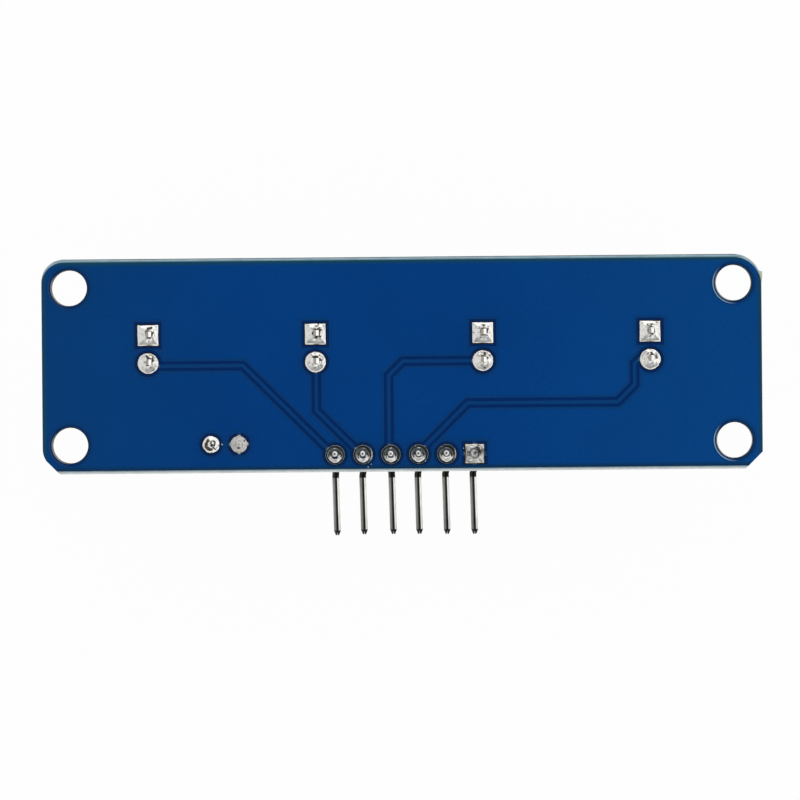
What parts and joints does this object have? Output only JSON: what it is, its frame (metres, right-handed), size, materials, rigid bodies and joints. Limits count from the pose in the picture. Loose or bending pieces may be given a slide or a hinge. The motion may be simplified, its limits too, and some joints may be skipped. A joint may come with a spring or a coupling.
{
  "type": "led indicator module",
  "caption": "Slim blue circuit board with a row of diffused lamps on its component side, a bent pin header on one long edge and a mounting hole in each corner.",
  "frame": {"origin": "centre of the four mounting holes, on the bare laminate's solder-side face", "axes": "+X along the board, +Z out of the solder side, -Y the way the header's pins point; the lamps hang towards -Z"},
  "size_m": [0.0657, 0.0256, 0.0159],
  "materials": {
    "laminate": "satin glass-epoxy, pale where it is cut",
    "tinned_copper": "etched foil and plating, tinned where the mask leaves it bare",
    "solder_mask": "glossy blue lacquer",
    "red_lens": "diffused epoxy, smooth",
    "yellow_lens": "diffused epoxy, smooth",
    "green_lens": "diffused epoxy, smooth",
    "blue_lens": "diffused epoxy, smooth",
    "tinned_steel": "tinned, sheared at the ends",
    "resistor_body": "matte black coat on ceramic",
    "resistor_ends": "tinned",
    "can": "satin",
    "sleeve": "shrunk film, semi-gloss",
    "bung": "matte",
    "header_strip": "moulded, satin",
    "header_pin": "tinned, bright",
    "solder": "bright solder"
  },
  "bodies": {
    "root": {"circuit_board": "laminate", "copper_back": "tinned_copper", "copper_front": "tinned_copper", "plated_holes": "tinned_copper", "mask_back": "solder_mask", "mask_front": "solder_mask", "led_lens_1": "red_lens", "led_lens_2": "yellow_lens", "led_lens_3": "green_lens", "led_lens_4": "blue_lens", "led_anode_1": "tinned_steel", "led_anode_2": "tinned_steel", "led_anode_3": "tinned_steel", "led_anode_4": "tinned_steel", "led_cathode_1": "tinned_steel", "led_cathode_2": "tinned_steel", "led_cathode_3": "tinned_steel", "led_cathode_4": "tinned_steel", "resistor_body_1": "resistor_body", "resistor_body_2": "resistor_body", "resistor_body_3": "resistor_body", "resistor_body_4": "resistor_body", "resistor_ends_1": "resistor_ends", "resistor_ends_2": "resistor_ends", "resistor_ends_3": "resistor_ends", "resistor_ends_4": "resistor_ends", "capacitor_can": "can", "capacitor_sleeve": "sleeve", "capacitor_bung": "bung", "capacitor_lead_positive": "tinned_steel", "capacitor_lead_negative": "tinned_steel", "header_strip": "header_strip", "header_pin_1": "header_pin", "header_pin_2": "header_pin", "header_pin_3": "header_pin", "header_pin_4": "header_pin", "header_pin_5": "header_pin", "header_pin_6": "header_pin", "led_solder": "solder", "capacitor_solder": "solder", "header_solder": "solder", "resistor_solder": "solder"}
  },
  "joints": []
}
